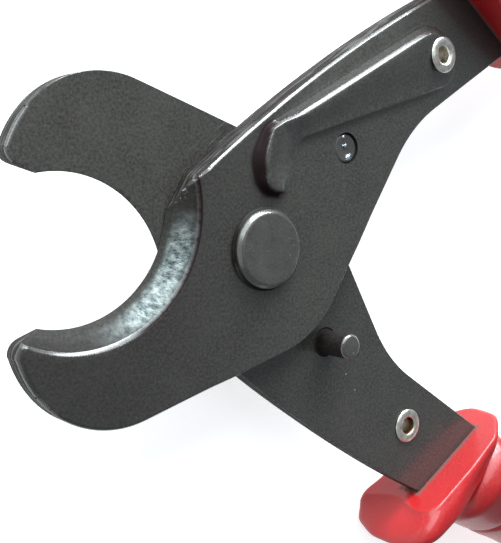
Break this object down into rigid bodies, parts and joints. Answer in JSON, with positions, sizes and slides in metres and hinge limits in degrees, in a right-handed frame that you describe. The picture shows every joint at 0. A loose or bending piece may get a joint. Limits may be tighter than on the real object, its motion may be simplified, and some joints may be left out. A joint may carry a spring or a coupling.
{
  "type": "rescue cutter",
  "caption": "Long-handled cutter for cables and ropes: hooked blades on a pivot bolt, stop pins, and insulated grips behind hand guards.",
  "frame": {"origin": "on the surface the open tool lies on, under the middle of its box", "axes": "+X from the jaws towards the handles, +Z along the pivot axis from the rear blade to the front blade"},
  "size_m": [0.467, 0.5244, 0.0538],
  "materials": {
    "blade": "semi-gloss black lacquer over forged steel, ground bevel left grey",
    "bolt": "black oxide steel",
    "pin": "black steel, bare where riveted",
    "bronze": "plain bearing bronze",
    "plated_steel": "zinc plated",
    "spring_steel": "phosphated spring steel",
    "nickel": "nickel plated, dull shine",
    "nylon": "nylon",
    "red_insulation": "glossy dip-moulded red insulation"
  },
  "bodies": {
    "rear_half": {"rear_blade": "blade", "rear_pivot_bush": "bronze", "rear_stop_pin": "pin", "rear_hollow_rivet": "nickel", "rear_handle_tube": "plated_steel", "rear_tang_rivets": "plated_steel", "rear_hand_guard": "red_insulation", "rear_grip": "red_insulation", "rear_end_cap": "red_insulation", "pivot_bolt": "bolt", "tail_washer": "plated_steel", "disc_spring": "spring_steel", "pivot_nut": "bolt", "nut_lock_ring": "nylon", "head_washer": "plated_steel"},
    "front_half": {"front_blade": "blade", "front_pivot_bush": "bronze", "front_stop_pin": "pin", "front_hollow_rivet": "nickel", "front_handle_tube": "plated_steel", "front_tang_rivets": "plated_steel", "front_hand_guard": "red_insulation", "front_grip": "red_insulation", "front_end_cap": "red_insulation"}
  },
  "joints": [
    {"name": "blade_pivot", "type": "hinge", "parent": "rear_half", "child": "front_half", "pos_m": [-0.14858, 0, 0.02689], "axis": [0, 0, -1], "range_deg": [-63, 47.5]}
  ]
}
